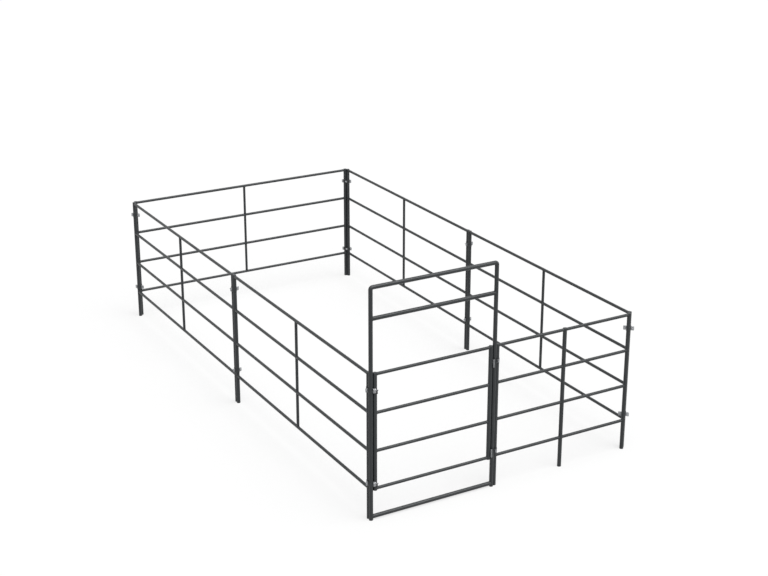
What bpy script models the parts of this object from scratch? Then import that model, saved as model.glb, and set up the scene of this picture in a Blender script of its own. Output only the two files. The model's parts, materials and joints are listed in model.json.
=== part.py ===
"""Portable horse stall: rail panels clamped into a pen, with a tall ride-through gate frame.

The model stands on z = 0 with its front, the side with the gate, facing -Y.
Inside this script every size is in metres. The plan is laid out from the left
post of the gate frame, and the finished pen is then moved so that the middle of
its footprint is the origin.
"""

import math

import bmesh
import bpy
from mathutils import Matrix, Vector

# Facets: a prism is turned by half a side, so that flats face the main directions
HALF_SIDE = 0.5
SHARP_ANGLE = math.radians(40)

# Tube stock
POST_D = 0.0413
RAIL_D = 0.0318
STAY_D = 0.0302
POST_SIDES = 16
RAIL_SIDES = 12
SEAT_SIDES = 32
CAP_CHAMFER = 0.0015

# Rail panels
POST_HEIGHT = 1.524
RAIL_COUNT = 4
RAIL_PITCH = 0.3937
RAIL_SETDOWN = 0.001
PANEL_SPAN = 2.989
SIDE_PANELS = 2

# Ride-through gate frame
BOW_SPAN = 1.3716
BOW_HEIGHT = 2.388
BOW_BEND = 0.0215
BOW_BEND_STEPS = 4
HEADER_DROP = 0.3048
THRESHOLD_RISE = 0.034

# Gate leaf
GATE_GAP = 0.0037

# Clearances
FIT = 0.0003
POST_GAP = 0.0004
TURN_GAP = 0.0004

# Post clamps
CLAMP_HEIGHT = 0.044
CLAMP_DROP = 0.1535
CLAMP_RISE = 0.062
STRAP_T = 0.0025
STRAP_STEPS = 10
EAR_SPLIT = 0.002
EAR_WIDE = 0.0345
EAR_SHORT = 0.0215
EAR_LONG = 0.0237
LIP_OUT = 0.003
BOLT_D = 0.0095
BOLT_FLATS = 0.0143
BOLT_HEAD_T = 0.0064
NUT_T = 0.008
BOLT_PROUD = 0.003
BOLT_PROUD_SLIM = 0.024
BOLT_SIDES = 10
BOLT_INSET = 0.016
BOLT_INSET_SHORT = 0.0092
BOLT_INSET_LONG = 0.0108

# Gate hinges
BARREL_D = 0.0194
BARREL_HEIGHT = 0.084
HINGE_DROP = 0.010
PIN_D = 0.010
PIN_HEAD_D = 0.016
PIN_HEAD_T = 0.004
PIN_TAIL = 0.004
TAB_T = 0.008
KNUCKLE_SPLIT = 0.0006
ROUND_SIDES = 16

# Gate latches
LUG_HEIGHT = 0.044
LUG_WIDTH = 0.011
LUG_BACK = 0.008
LUG_WALL = 0.0045
LUG_SPLIT = 0.004
LATCH_D = 0.012
LATCH_THROW = 0.014
LATCH_SHANK_D = 0.008
LATCH_SHANK_DROP = 0.030
KNOB_D = 0.013
KNOB_SEGMENTS = 12
KNOB_RINGS = 8

# Derived places
POST_R = POST_D / 2
RAIL_R = RAIL_D / 2
PAIR = POST_D + POST_GAP
CORNER = PAIR / math.sqrt(2)
TOP_RAIL_Z = POST_HEIGHT - RAIL_SETDOWN - RAIL_R
BOTTOM_RAIL_Z = TOP_RAIL_Z - (RAIL_COUNT - 1) * RAIL_PITCH
SIDE_FRONT_Y = PAIR
SIDE_REAR_Y = SIDE_FRONT_Y + SIDE_PANELS * PANEL_SPAN + (SIDE_PANELS - 1) * PAIR
PEN_WIDTH = PANEL_SPAN + 2 * CORNER
REAR_Y = SIDE_REAR_Y + CORNER
FRONT_Y = SIDE_FRONT_Y - CORNER
FRONT_LEFT_X = BOW_SPAN + math.sqrt(PAIR ** 2 - FRONT_Y ** 2)
FRONT_RIGHT_X = PEN_WIDTH - CORNER
GATE_PITCH = POST_D + GATE_GAP
GATE_LEFT_X = GATE_PITCH
GATE_RIGHT_X = BOW_SPAN - GATE_PITCH
GATE_FOOT_Z = BOTTOM_RAIL_Z - RAIL_R - RAIL_SETDOWN
CLAMP_LEVELS = {"upper": TOP_RAIL_Z - CLAMP_DROP, "lower": BOTTOM_RAIL_Z + CLAMP_RISE}
STRAP_IN = POST_R + FIT
STRAP_OUT = STRAP_IN + STRAP_T
HINGE_X = BOW_SPAN - GATE_PITCH / 2
HINGE_REACH = STRAP_OUT + TURN_GAP + BARREL_D / 2
HINGE_Y = -math.sqrt(HINGE_REACH ** 2 - (GATE_PITCH / 2) ** 2)
LATCH_X = GATE_PITCH / 2
LATCH_OUT = STRAP_OUT + TURN_GAP + LATCH_D / 2
LATCH_TIP_X = LATCH_X + LUG_SPLIT / 2 + FIT
LATCH_GRIP_X = LATCH_X + LUG_SPLIT / 2 + LUG_WIDTH + TURN_GAP + LATCH_THROW + LATCH_SHANK_D / 2
LUG_FRONT = LATCH_OUT + LATCH_D / 2 + LUG_WALL

# Ear styles: reach past the strap's inner face, place of the bolt past its outer face, and
# how far the bolt passes its nut. A long ear is measured from the middle of the two posts.
EARS = {
    "wide": (EAR_WIDE, BOLT_INSET, BOLT_PROUD),
    "short": (EAR_SHORT, BOLT_INSET_SHORT, BOLT_PROUD),
    "slim": (EAR_SHORT, BOLT_INSET_SHORT, BOLT_PROUD_SLIM),
    "long": (PAIR / 2 + EAR_LONG, PAIR / 2 + BOLT_INSET_LONG, BOLT_PROUD),
}


def clear_scene():
    """Remove whatever the open file holds."""
    for obj in list(bpy.data.objects):
        bpy.data.objects.remove(obj, do_unlink=True)


def paint(name, colour, roughness, metallic):
    """Return a Principled material."""
    material = bpy.data.materials.new(name)
    material.use_nodes = True
    shader = material.node_tree.nodes["Principled BSDF"]
    shader.inputs["Base Color"].default_value = (*colour, 1.0)
    shader.inputs["Roughness"].default_value = roughness
    shader.inputs["Metallic"].default_value = metallic
    return material


def link(obj):
    """Put an object into the scene and return it."""
    bpy.context.scene.collection.objects.link(obj)
    return obj


def solid(name, bm):
    """Turn a bmesh into a linked object with its faces pointing out."""
    bmesh.ops.recalc_face_normals(bm, faces=bm.faces)
    mesh = bpy.data.meshes.new(name)
    bm.to_mesh(mesh)
    bm.free()
    return link(bpy.data.objects.new(name, mesh))


def tube(start, end, diameter, sides, turn=HALF_SIDE):
    """Make a straight tube as a closed prism; turn is in parts of one side."""
    start, end = Vector(start), Vector(end)
    run = end - start
    bm = bmesh.new()
    bmesh.ops.create_cone(bm, cap_ends=True, segments=sides, radius1=diameter / 2,
                          radius2=diameter / 2, depth=run.length)
    spin = Matrix.Rotation(turn * math.tau / sides, 4, "Z")
    aim = run.to_track_quat("Z", "Y").to_matrix().to_4x4()
    bmesh.ops.transform(bm, matrix=Matrix.Translation((start + end) / 2) @ aim @ spin,
                        verts=bm.verts)
    return solid("tube", bm)


def post(x, foot_z, top_z):
    """Make an upright whose top edge has a small chamfer, as a welded cap leaves."""
    bm = bmesh.new()
    bmesh.ops.create_cone(bm, cap_ends=True, segments=POST_SIDES, radius1=POST_R,
                          radius2=POST_R, depth=top_z - foot_z)
    bmesh.ops.translate(bm, vec=(x, 0, (top_z + foot_z) / 2), verts=bm.verts)
    rim = [e for e in bm.edges if all(v.co.z > top_z - CAP_CHAMFER for v in e.verts)]
    bmesh.ops.bevel(bm, geom=rim, offset=CAP_CHAMFER, segments=1, affect="EDGES")
    return solid("post", bm)


def block(low, high):
    """Make a box between two corners."""
    low, high = Vector(low), Vector(high)
    bm = bmesh.new()
    bmesh.ops.create_cube(bm, size=1)
    bmesh.ops.scale(bm, vec=high - low, verts=bm.verts)
    bmesh.ops.translate(bm, vec=(low + high) / 2, verts=bm.verts)
    return solid("block", bm)


def combine(name, base, others, operation="UNION"):
    """Weld the other shapes to the base, or cut them from it, and use them up."""
    for other in others:
        modifier = base.modifiers.new("combine", "BOOLEAN")
        modifier.operation = operation
        modifier.solver = "EXACT"
        modifier.object = other
        graph = bpy.context.evaluated_depsgraph_get()
        mesh = bpy.data.meshes.new_from_object(base.evaluated_get(graph))
        base.modifiers.clear()
        base.data = mesh
        bpy.data.objects.remove(other, do_unlink=True)
    base.name = name
    base.data.name = name
    return base


def rail_heights():
    """List the heights of the rails' axes, top first."""
    return [TOP_RAIL_Z - i * RAIL_PITCH for i in range(RAIL_COUNT)]


def rail_panel(name, span, foot_z=0.0, middle=None):
    """Weld a panel that runs along +X from a post at the origin to one at the span.

    middle is "stay" for a thin upright between the outer rails, "leg" for a full
    post that reaches the ground, or None.
    """
    pieces = [post(0, foot_z, POST_HEIGHT), post(span, foot_z, POST_HEIGHT)]
    pieces += [tube((0, 0, z), (span, 0, z), RAIL_D, RAIL_SIDES) for z in rail_heights()]
    if middle == "stay":
        pieces.append(tube((span / 2, 0, BOTTOM_RAIL_Z), (span / 2, 0, TOP_RAIL_Z), STAY_D, RAIL_SIDES))
    elif middle == "leg":
        pieces.append(post(span / 2, foot_z, POST_HEIGHT))
    return combine(name, pieces[0], pieces[1:])


def bow_frame():
    """Weld the tall frame: one bent tube, the header rail and the threshold rail."""
    axis_top = BOW_HEIGHT - POST_R
    path = [Vector((0, 0, 0))]
    for centre_x, first in ((BOW_BEND, 180), (BOW_SPAN - BOW_BEND, 90)):
        for i in range(BOW_BEND_STEPS + 1):
            angle = math.radians(first - 90 * i / BOW_BEND_STEPS)
            path.append(Vector((centre_x + BOW_BEND * math.cos(angle), 0,
                                axis_top - BOW_BEND + BOW_BEND * math.sin(angle))))
    path.append(Vector((BOW_SPAN, 0, 0)))
    bm = bmesh.new()
    rings = []
    for i, centre in enumerate(path):
        ahead = path[min(i + 1, len(path) - 1)] - path[max(i - 1, 0)]
        if 0 < i < len(path) - 1:
            ahead = (path[i + 1] - centre).normalized() + (centre - path[i - 1]).normalized()
        ahead.normalize()
        out = Vector((0, 1, 0)).cross(ahead)
        stretch = 1.0
        if 0 < i < len(path) - 1:
            stretch = 1 / ahead.dot((path[i + 1] - centre).normalized())
        ring = []
        for k in range(POST_SIDES):
            angle = (k + HALF_SIDE) * math.tau / POST_SIDES
            offset = out * POST_R * stretch * math.cos(angle) + Vector((0, POST_R * math.sin(angle), 0))
            ring.append(bm.verts.new(centre + offset))
        rings.append(ring)
    for one, two in zip(rings, rings[1:]):
        for k in range(POST_SIDES):
            bm.faces.new((one[k], one[k - 1], two[k - 1], two[k]))
    bm.faces.new(rings[0])
    bm.faces.new(reversed(rings[-1]))
    hoop = solid("hoop", bm)
    cross = [tube((0, 0, z), (BOW_SPAN, 0, z), POST_D, POST_SIDES, 0.0)
             for z in (axis_top - HEADER_DROP, THRESHOLD_RISE)]
    return combine("bow_frame", hoop, cross)


def arc(radius, first, last, steps, centre=(0.0, 0.0), outside=False):
    """List points along an arc in degrees; outside puts the flats, not the corners, on the radius."""
    if outside:
        radius /= math.cos(math.radians(abs(last - first) / steps / 2))
    angles = [math.radians(first + (last - first) * i / steps) for i in range(steps + 1)]
    return [(centre[0] + radius * math.cos(a), centre[1] + radius * math.sin(a)) for a in angles]


def extrude_profile(name, points, height):
    """Extrude a closed outline in the XY plane to a plate centred on z = 0."""
    bm = bmesh.new()
    face = bm.faces.new([bm.verts.new((x, y, -height / 2)) for x, y in points])
    made = bmesh.ops.extrude_face_region(bm, geom=[face])["geom"]
    bmesh.ops.translate(bm, vec=(0, 0, height), verts=[v for v in made if isinstance(v, bmesh.types.BMVert)])
    return solid(name, bm)


def ear_outline(style, hooked):
    """List the outline of one clamp half past its strap, on the +Y side, from the inner face out.

    The half lies on the +X side of the joint between the two halves.
    """
    near, far = EAR_SPLIT / 2, EAR_SPLIT / 2 + STRAP_T
    if style == "hook" and hooked:
        lip = STRAP_OUT + LIP_OUT + TURN_GAP
        catch = -(far + TURN_GAP)
        return [(near, STRAP_IN), (near, lip), (catch, lip), (catch, STRAP_OUT + TURN_GAP),
                (catch - STRAP_T, STRAP_OUT + TURN_GAP), (catch - STRAP_T, lip + STRAP_T),
                (far, lip + STRAP_T), (far, STRAP_OUT)]
    reach = STRAP_OUT + LIP_OUT if style == "hook" else STRAP_IN + EARS[style][0]
    return [(near, STRAP_IN), (near, reach), (far, reach), (far, STRAP_OUT)]


def crossing_outline(plus, minus, hooked):
    """List the outline of a clamp half on +X that wraps one of two posts standing along X."""
    centre = (PAIR / 2, 0.0)
    upper = ear_outline(plus, hooked)
    lower = [(x, -y) for x, y in ear_outline(minus, hooked)]
    inner = arc(STRAP_IN, -90, 90, STRAP_STEPS, centre, outside=True)
    outer = arc(STRAP_OUT, 90, -90, STRAP_STEPS, centre)
    return inner + upper + outer + list(reversed(lower))


def long_outline():
    """List the outline of a clamp half on +X that spans both posts, which stand along Y."""
    near, far = EAR_SPLIT / 2, EAR_SPLIT / 2 + STRAP_T
    tip = STRAP_IN + EARS["long"][0]
    centre = (0.0, PAIR / 2)
    steps = STRAP_STEPS // 2
    inner = arc(STRAP_IN, math.degrees(math.acos(near / STRAP_IN)), 0, steps, centre, outside=True)
    outer = arc(STRAP_OUT, 0, math.degrees(math.acos(far / STRAP_OUT)), steps, centre)
    upper = outer + [(far, tip), (near, tip)] + inner
    return upper + [(x, -y) for x, y in reversed(upper)]


def clamp_half(name, plus, minus, with_bolts):
    """Make the clamp half on +X, with its bolts or nuts; plus and minus name its ears' styles."""
    outline = long_outline() if plus == "long" else crossing_outline(plus, minus, with_bolts)
    half = extrude_profile(name, outline, CLAMP_HEIGHT)
    far = EAR_SPLIT / 2 + STRAP_T
    bolts = []
    bores = []
    for style, side in ((plus, 1), (minus, -1)):
        if style == "hook":
            continue
        _, inset, proud = EARS[style]
        y = side * (STRAP_OUT + inset)
        across = BOLT_FLATS / math.cos(math.pi / 6)
        if with_bolts:
            tip = -(far + NUT_T + proud)
            bolts.append(tube((far - STRAP_T / 2, y, 0), (far + BOLT_HEAD_T, y, 0), across, 6))
            bolts.append(tube((far, y, 0), (tip, y, 0), BOLT_D, BOLT_SIDES))
        else:
            bolts.append(tube((far - STRAP_T / 2, y, 0), (far + NUT_T, y, 0), across, 6))
            bores.append(tube((0, y, 0), (far + NUT_T + FIT, y, 0), BOLT_D + 2 * FIT, BOLT_SIDES))
    half = combine(name, half, bolts)
    return combine(name, half, bores, "DIFFERENCE")


def saddle(low, high, post_x, seat_r):
    """Make a block whose back is cut to sit on a round face about the upright at post_x."""
    seat = tube((post_x, 0, low[2] - FIT), (post_x, 0, high[2] + FIT), 2 * (seat_r + FIT), SEAT_SIDES)
    return combine("saddle", block(low, high), [seat], "DIFFERENCE")


def latch_lug(name, side, z):
    """Make the bored lug on one side of the gap between frame and gate; side is -1 for the frame.

    The frame's lug sits on the clamp strap there, and the gate's on its post.
    """
    near = LATCH_X + side * LUG_SPLIT / 2
    far = near + side * LUG_WIDTH
    post_x, seat_r = (0.0, STRAP_OUT) if side < 0 else (GATE_LEFT_X, POST_R)
    left, right = min(near, far), max(near, far)
    lug = saddle((left, -LUG_FRONT, z - LUG_HEIGHT / 2), (right, -LUG_BACK, z + LUG_HEIGHT / 2), post_x, seat_r)
    bore = tube((left - FIT, -LATCH_OUT, z), (right + FIT, -LATCH_OUT, z), LATCH_D + 2 * FIT, ROUND_SIDES)
    return combine(name, lug, [bore], "DIFFERENCE")


def latch_bolt(name, z):
    """Make the sliding bolt, drawn back into its guide, with a shank that hangs from it and a knob."""
    rod = tube((LATCH_TIP_X, -LATCH_OUT, z), (LATCH_GRIP_X + LATCH_SHANK_D, -LATCH_OUT, z),
               LATCH_D, ROUND_SIDES)
    shank_end = (LATCH_GRIP_X, -LATCH_OUT, z - LATCH_SHANK_DROP)
    shank = tube((LATCH_GRIP_X, -LATCH_OUT, z), shank_end, LATCH_SHANK_D, BOLT_SIDES, HALF_SIDE / 2)
    bm = bmesh.new()
    bmesh.ops.create_uvsphere(bm, u_segments=KNOB_SEGMENTS, v_segments=KNOB_RINGS, radius=KNOB_D / 2)
    bmesh.ops.translate(bm, vec=shank_end, verts=bm.verts)
    return combine(name, rod, [shank, solid("knob", bm)])


def hinge_knuckle(name, post_x, low_z, high_z, tab_low, tab_high):
    """Make one barrel of a hinge with the tab that welds it to the upright at post_x."""
    barrel = tube((HINGE_X, HINGE_Y, low_z), (HINGE_X, HINGE_Y, high_z), BARREL_D, ROUND_SIDES)
    aim = Vector((post_x - HINGE_X, -HINGE_Y, 0)).normalized()
    bm = bmesh.new()
    bmesh.ops.create_cube(bm, size=1)
    bmesh.ops.scale(bm, vec=(HINGE_REACH, TAB_T, tab_high - tab_low), verts=bm.verts)
    bmesh.ops.translate(bm, vec=(HINGE_REACH / 2, 0, 0), verts=bm.verts)
    place = Matrix.Translation((HINGE_X, HINGE_Y, (tab_low + tab_high) / 2))
    turn = Matrix.Rotation(math.atan2(aim.y, aim.x), 4, "Z")
    bmesh.ops.transform(bm, matrix=place @ turn, verts=bm.verts)
    tab = solid("tab", bm)
    seat = tube((post_x, 0, low_z - FIT), (post_x, 0, high_z + FIT), 2 * (POST_R + FIT), SEAT_SIDES)
    tab = combine("tab", tab, [seat], "DIFFERENCE")
    knuckle = combine(name, barrel, [tab])
    bore = tube((HINGE_X, HINGE_Y, low_z - FIT), (HINGE_X, HINGE_Y, high_z + FIT),
                PIN_D + 2 * FIT, ROUND_SIDES)
    return combine(name, knuckle, [bore], "DIFFERENCE")


def hinge_pin(name, middle_z):
    """Make the headed pin that drops through both barrels."""
    top = middle_z + BARREL_HEIGHT / 2
    foot = middle_z - BARREL_HEIGHT / 2
    shank = tube((HINGE_X, HINGE_Y, foot - PIN_TAIL), (HINGE_X, HINGE_Y, top + PIN_HEAD_T), PIN_D, ROUND_SIDES)
    head = tube((HINGE_X, HINGE_Y, top + FIT), (HINGE_X, HINGE_Y, top + FIT + PIN_HEAD_T),
                PIN_HEAD_D, ROUND_SIDES)
    return combine(name, shank, [head])


def place_copy(source, name, location, turn):
    """Place a copy of a piece that shares its mesh."""
    obj = link(bpy.data.objects.new(name, source.data))
    obj.location = location
    obj.rotation_euler = (0, 0, turn)
    return obj


def build_panels():
    """Build the six panels in their places."""
    long_panel = rail_panel("long_panel", PANEL_SPAN, middle="stay")
    panels = []
    for side, x in (("left", 0.0), ("right", PEN_WIDTH)):
        for i in range(SIDE_PANELS):
            y = SIDE_FRONT_Y + i * (PANEL_SPAN + PAIR)
            panels.append(place_copy(long_panel, f"panel_{side}_{i + 1}", (x, y, 0), math.pi / 2))
    panels.append(place_copy(long_panel, "panel_rear", (CORNER, REAR_Y, 0), 0))
    bpy.data.objects.remove(long_panel, do_unlink=True)
    front = rail_panel("panel_front", FRONT_RIGHT_X - FRONT_LEFT_X, middle="leg")
    front.location = (FRONT_LEFT_X, FRONT_Y, 0)
    return panels + [front]


def post_pairs():
    """Name each pair of neighbouring posts, with the two post centres and the clamp's two ears.

    The first ear is on the left when looking from the first post to the second.
    """
    rear_left = ((0.0, SIDE_REAR_Y), (CORNER, REAR_Y))
    rear_right = ((PEN_WIDTH, SIDE_REAR_Y), (FRONT_RIGHT_X, REAR_Y))
    front_corner = ((FRONT_RIGHT_X, FRONT_Y), (PEN_WIDTH, SIDE_FRONT_Y))
    pairs = {
        "rear_left": (*rear_left, "wide", "wide"),
        "rear_right": (*rear_right, "long", "long"),
        "front_corner": (*front_corner, "wide", "wide"),
        "gate_left": ((0.0, 0.0), (0.0, SIDE_FRONT_Y), "short", "hook"),
        "gate_right": ((BOW_SPAN, 0.0), (FRONT_LEFT_X, FRONT_Y), "wide", "short"),
    }
    for side, x in (("left", 0.0), ("right", PEN_WIDTH)):
        for i in range(1, SIDE_PANELS):
            y = SIDE_FRONT_Y + i * PANEL_SPAN + (i - 1) * PAIR
            pairs[f"{side}_{i}"] = ((x, y), (x, y + PAIR), "slim", "wide")
    return pairs


def build_clamps():
    """Bolt a clamp round each pair of posts, high and low."""
    halves = {}
    clamps = []
    for pair, (first, second, left_ear, right_ear) in post_pairs().items():
        key = (left_ear, right_ear)
        if key not in halves:
            nut_half = clamp_half("nut_half", left_ear, right_ear, False)
            bolt_half = clamp_half("bolt_half", right_ear, left_ear, True)
            halves[key] = (nut_half, bolt_half)
        run = Vector(second) - Vector(first)
        middle = (Vector(first) + Vector(second)) / 2
        turn = math.atan2(run.y, run.x)
        if left_ear == "long":
            turn -= math.pi / 2
        for level, z in CLAMP_LEVELS.items():
            where = (middle.x, middle.y, z)
            nut_half, bolt_half = halves[key]
            clamps.append(place_copy(nut_half, f"clamp_{pair}_{level}_nut_half", where, turn))
            clamps.append(place_copy(bolt_half, f"clamp_{pair}_{level}_bolt_half", where, turn + math.pi))
    for pair in halves.values():
        for half in pair:
            bpy.data.objects.remove(half, do_unlink=True)
    return clamps


def build_gate():
    """Build the gate leaf, and return it with the pieces that it and the frame carry."""
    leaf = rail_panel("gate_frame", GATE_RIGHT_X - GATE_LEFT_X, GATE_FOOT_Z)
    leaf.location = (GATE_LEFT_X, 0, 0)
    on_gate, on_frame, bolts = [leaf], [], []
    for level, z in CLAMP_LEVELS.items():
        middle = z - HINGE_DROP
        half = BARREL_HEIGHT / 2
        split = KNUCKLE_SPLIT / 2
        tab_top = z - CLAMP_HEIGHT / 2 - 2 * TURN_GAP
        on_frame.append(hinge_knuckle(f"hinge_{level}_frame_knuckle", BOW_SPAN, middle - half,
                                      middle - split, middle - half, tab_top))
        on_gate.append(hinge_knuckle(f"hinge_{level}_gate_knuckle", GATE_RIGHT_X, middle + split,
                                     middle + half, middle + split, middle + half))
        on_frame.append(hinge_pin(f"hinge_{level}_pin", middle))
        on_frame.append(latch_lug(f"latch_{level}_keeper", -1, z))
        on_gate.append(latch_lug(f"latch_{level}_guide", 1, z))
        bolts.append(latch_bolt(f"latch_{level}_bolt", z))
    return on_gate, on_frame, bolts


def parent(children, name, location):
    """Hang pieces from an empty on their joint's axis, and return the empty."""
    empty = link(bpy.data.objects.new(name, None))
    empty.location = location
    bpy.context.view_layer.update()
    for child in children:
        child.parent = empty
        child.matrix_parent_inverse = empty.matrix_world.inverted()
    return empty


def footprint_middle(objects):
    """Return the middle of the pieces' footprint."""
    bpy.context.view_layer.update()
    points = [obj.matrix_world @ v.co for obj in objects for v in obj.data.vertices]
    spans = [(min(p[i] for p in points), max(p[i] for p in points)) for i in range(2)]
    return Vector(((spans[0][0] + spans[0][1]) / 2, (spans[1][0] + spans[1][1]) / 2, 0))


def main():
    """Build the pen and centre it on the origin."""
    clear_scene()
    charcoal = paint("charcoal_powder_coat", (0.045, 0.05, 0.053), 0.45, 0.0)
    zinc = paint("zinc_plate", (0.55, 0.56, 0.57), 0.38, 0.9)
    panels = build_panels()
    bow = bow_frame()
    clamps = build_clamps()
    on_gate, on_frame, bolts = build_gate()
    painted = panels + [bow, on_gate[0]]
    plated = clamps + on_gate[1:] + on_frame + bolts
    for obj in painted + plated:
        if not obj.data.materials:
            obj.data.materials.append(charcoal if obj in painted else zinc)
        obj.data.shade_smooth()
        obj.data.set_sharp_from_angle(angle=SHARP_ANGLE)
    swing = parent(on_gate, "gate_swing", (HINGE_X, HINGE_Y, 0))
    slides = [parent([bolt], f"{bolt.name}_slide", (LATCH_X, -LATCH_OUT, z))
              for bolt, z in zip(bolts, CLAMP_LEVELS.values())]
    middle = footprint_middle(painted + plated)
    fixed = panels + [bow] + clamps + on_frame
    for obj in fixed + [swing] + slides:
        obj.location -= middle
    bpy.context.view_layer.update()


main()
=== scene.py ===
"""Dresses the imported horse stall: coated tubes, welds, post clamps, hinges and slide latches.

All sizes are in metres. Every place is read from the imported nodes' boxes, so each
piece stands where its solid does, rides on that solid's body and replaces it.
"""

import json
import logging
import math
from dataclasses import dataclass, field
from enum import Enum

import bmesh
import bpy
from mathutils import Matrix, Vector

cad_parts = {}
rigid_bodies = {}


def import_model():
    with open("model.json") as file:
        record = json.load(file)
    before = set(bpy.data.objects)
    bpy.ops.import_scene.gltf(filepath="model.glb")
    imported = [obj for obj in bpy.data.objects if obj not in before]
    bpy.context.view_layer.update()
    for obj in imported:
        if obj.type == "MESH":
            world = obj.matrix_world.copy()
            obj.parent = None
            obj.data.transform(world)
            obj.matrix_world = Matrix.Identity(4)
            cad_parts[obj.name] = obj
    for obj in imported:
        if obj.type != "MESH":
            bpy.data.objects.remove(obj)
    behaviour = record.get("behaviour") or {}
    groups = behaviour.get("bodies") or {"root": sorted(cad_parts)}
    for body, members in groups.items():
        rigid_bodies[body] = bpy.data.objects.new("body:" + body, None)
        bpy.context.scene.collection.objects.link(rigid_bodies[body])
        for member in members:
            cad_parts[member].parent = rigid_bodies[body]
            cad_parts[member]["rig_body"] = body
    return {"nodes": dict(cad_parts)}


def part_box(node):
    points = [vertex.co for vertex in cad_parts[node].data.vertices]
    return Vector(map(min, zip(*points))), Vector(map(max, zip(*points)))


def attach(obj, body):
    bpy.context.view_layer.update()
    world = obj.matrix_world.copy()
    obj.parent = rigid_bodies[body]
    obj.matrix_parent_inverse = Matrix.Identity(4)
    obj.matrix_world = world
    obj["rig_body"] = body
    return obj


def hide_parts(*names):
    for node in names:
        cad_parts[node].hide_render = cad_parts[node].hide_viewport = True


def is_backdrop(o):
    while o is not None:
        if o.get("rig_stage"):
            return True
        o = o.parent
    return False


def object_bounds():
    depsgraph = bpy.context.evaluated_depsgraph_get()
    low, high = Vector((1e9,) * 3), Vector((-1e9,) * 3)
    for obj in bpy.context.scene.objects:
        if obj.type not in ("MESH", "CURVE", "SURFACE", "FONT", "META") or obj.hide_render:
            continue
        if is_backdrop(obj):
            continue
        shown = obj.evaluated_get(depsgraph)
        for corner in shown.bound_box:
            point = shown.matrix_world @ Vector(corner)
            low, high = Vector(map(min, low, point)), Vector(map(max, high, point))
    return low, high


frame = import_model()
CAD_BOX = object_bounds()

Pair = tuple[float, float]
Triple = tuple[float, float, float]
Colour = Triple
Points = list[Vector]
PostEnd = tuple[str, int]
Mesh = bpy.types.Mesh
MeshPair = tuple[Mesh, Mesh]
Tree = bpy.types.NodeTree
Socket = bpy.types.NodeSocket
Inputs = dict[str | int, Socket | float | tuple]

QUARTER = math.pi / 2
TINY = 1e-9
log = logging.getLogger("horse_stall")


class Slot(Enum):
    """The record's finishes."""

    COAT = "charcoal_coat"
    CLAMP = "clamp_steel"
    ZINC = "zinc_plate"
    PIN = "pin_steel"


class Middle(Enum):
    """What stands halfway along a panel."""

    OPEN = "open"
    STAY = "stay"
    LEG = "leg"


class Ear(Enum):
    """How one side of a clamp closes."""

    WIDE = "wide"
    SHORT = "short"
    SLIM = "slim"
    LONG = "long"
    HOOK = "hook"


@dataclass(frozen=True)
class Noise:
    """A noise pattern.

    It holds its features to a metre, its finer layers, the range of its values that
    counts, and its stretch along the piece's own axes.
    """

    scale: float
    detail: float = 4.0
    used: Pair = (0.35, 0.65)
    stretch: Triple | None = None


@dataclass(frozen=True)
class Relief:
    """A noise pattern that raises the surface, by a depth and a share of it from 0 to 1."""

    noise: Noise
    strength: float
    depth: float


def add_node(tree: Tree, kind: str, inputs: Inputs, **modes: str) -> bpy.types.Node:
    """Add a shader node and fill its sockets.

    Args:
        tree: the nodes that it joins.
        kind: its type.
        inputs: the pattern or the plain value of its sockets, by name or number.
        **modes: its own settings, such as an operation.

    Returns:
        The node.
    """
    node = tree.nodes.new(kind)
    for name, mode in modes.items():
        setattr(node, name, mode)
    for name, value in inputs.items():
        if isinstance(value, Socket):
            tree.links.new(value, node.inputs[name])
        else:
            node.inputs[name].default_value = value
    return node


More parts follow.
